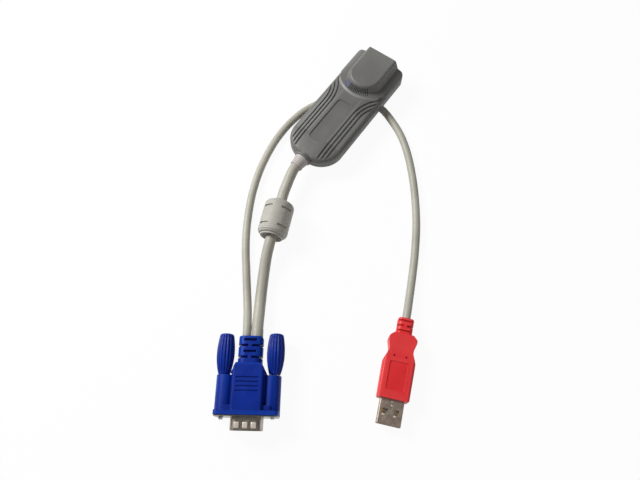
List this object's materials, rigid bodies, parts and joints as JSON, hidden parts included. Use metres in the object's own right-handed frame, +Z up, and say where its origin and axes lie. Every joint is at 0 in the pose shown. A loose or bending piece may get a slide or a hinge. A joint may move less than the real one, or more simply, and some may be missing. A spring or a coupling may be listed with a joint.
{
  "type": "server interface module",
  "caption": "Hand-sized grey pod with a network jack, a video lead with ferrite bead and screw-in plug, and a thin lead with a flat bus plug.",
  "frame": {"origin": "middle of the pod's box, halfway along, across and up its case", "axes": "+Y along the pod towards its network jack, +Z up from the underside through the raised jack block"},
  "size_m": [0.1499, 0.2191, 0.0197],
  "materials": {
    "case": "fine matte grain",
    "steel": "zinc plated",
    "board": "solder mask",
    "chip": "moulded",
    "nickel": "nickel plated",
    "capacitor": "ceramic",
    "lamp": "clear tinted resin",
    "white_plastic": "moulded",
    "gold": "gold flash",
    "dark_plastic": "moulded",
    "lead_jacket": "soft satin vinyl",
    "ferrite": "sintered",
    "blue_plastic": "satin moulded",
    "red_plastic": "satin moulded"
  },
  "bodies": {
    "module": {"upper_shell": "case", "lower_shell": "case", "case_screws": "steel", "circuit_board": "board", "controller_chip": "chip", "line_driver_chips": "chip", "clock_crystal": "nickel", "board_capacitors": "capacitor", "status_lamp": "lamp", "lead_header": "white_plastic", "core_wires": "gold", "jack_housing": "dark_plastic", "jack_contacts": "gold", "pod_strain_relief": "lead_jacket", "video_lead": "lead_jacket", "bus_lead": "lead_jacket", "ferrite_core": "ferrite", "ferrite_cover": "lead_jacket", "plug_hood": "blue_plastic", "plug_front_shell": "nickel", "plug_rear_shell": "nickel", "plug_insulator": "dark_plastic", "plug_pins": "gold", "bus_plug_grip": "red_plastic", "bus_plug_shell": "nickel", "bus_plug_tongue": "white_plastic", "bus_plug_contacts": "gold"},
    "left_washer": {"left_screw_washer": "steel"},
    "left_screw": {"left_screw_shaft": "steel", "left_thumb_knob": "blue_plastic"},
    "right_washer": {"right_screw_washer": "steel"},
    "right_screw": {"right_screw_shaft": "steel", "right_thumb_knob": "blue_plastic"}
  },
  "joints": [
    {"name": "left_screw_slide", "type": "slide", "parent": "module", "child": "left_washer", "axis": [-0.5664, 0.8241, 0], "range_m": [0, 0.003]},
    {"name": "left_screw_turn", "type": "hinge", "parent": "left_washer", "child": "left_screw", "pos_m": [0.0297, -0.14508, -0.005], "axis": [0.5664, -0.8241, 0], "continuous": true},
    {"name": "right_screw_slide", "type": "slide", "parent": "module", "child": "right_washer", "axis": [-0.5664, 0.8241, 0], "range_m": [-0.0005, 0.0025]},
    {"name": "right_screw_turn", "type": "hinge", "parent": "right_washer", "child": "right_screw", "pos_m": [0.0503, -0.13092, -0.005], "axis": [0.5664, -0.8241, 0], "continuous": true}
  ]
}
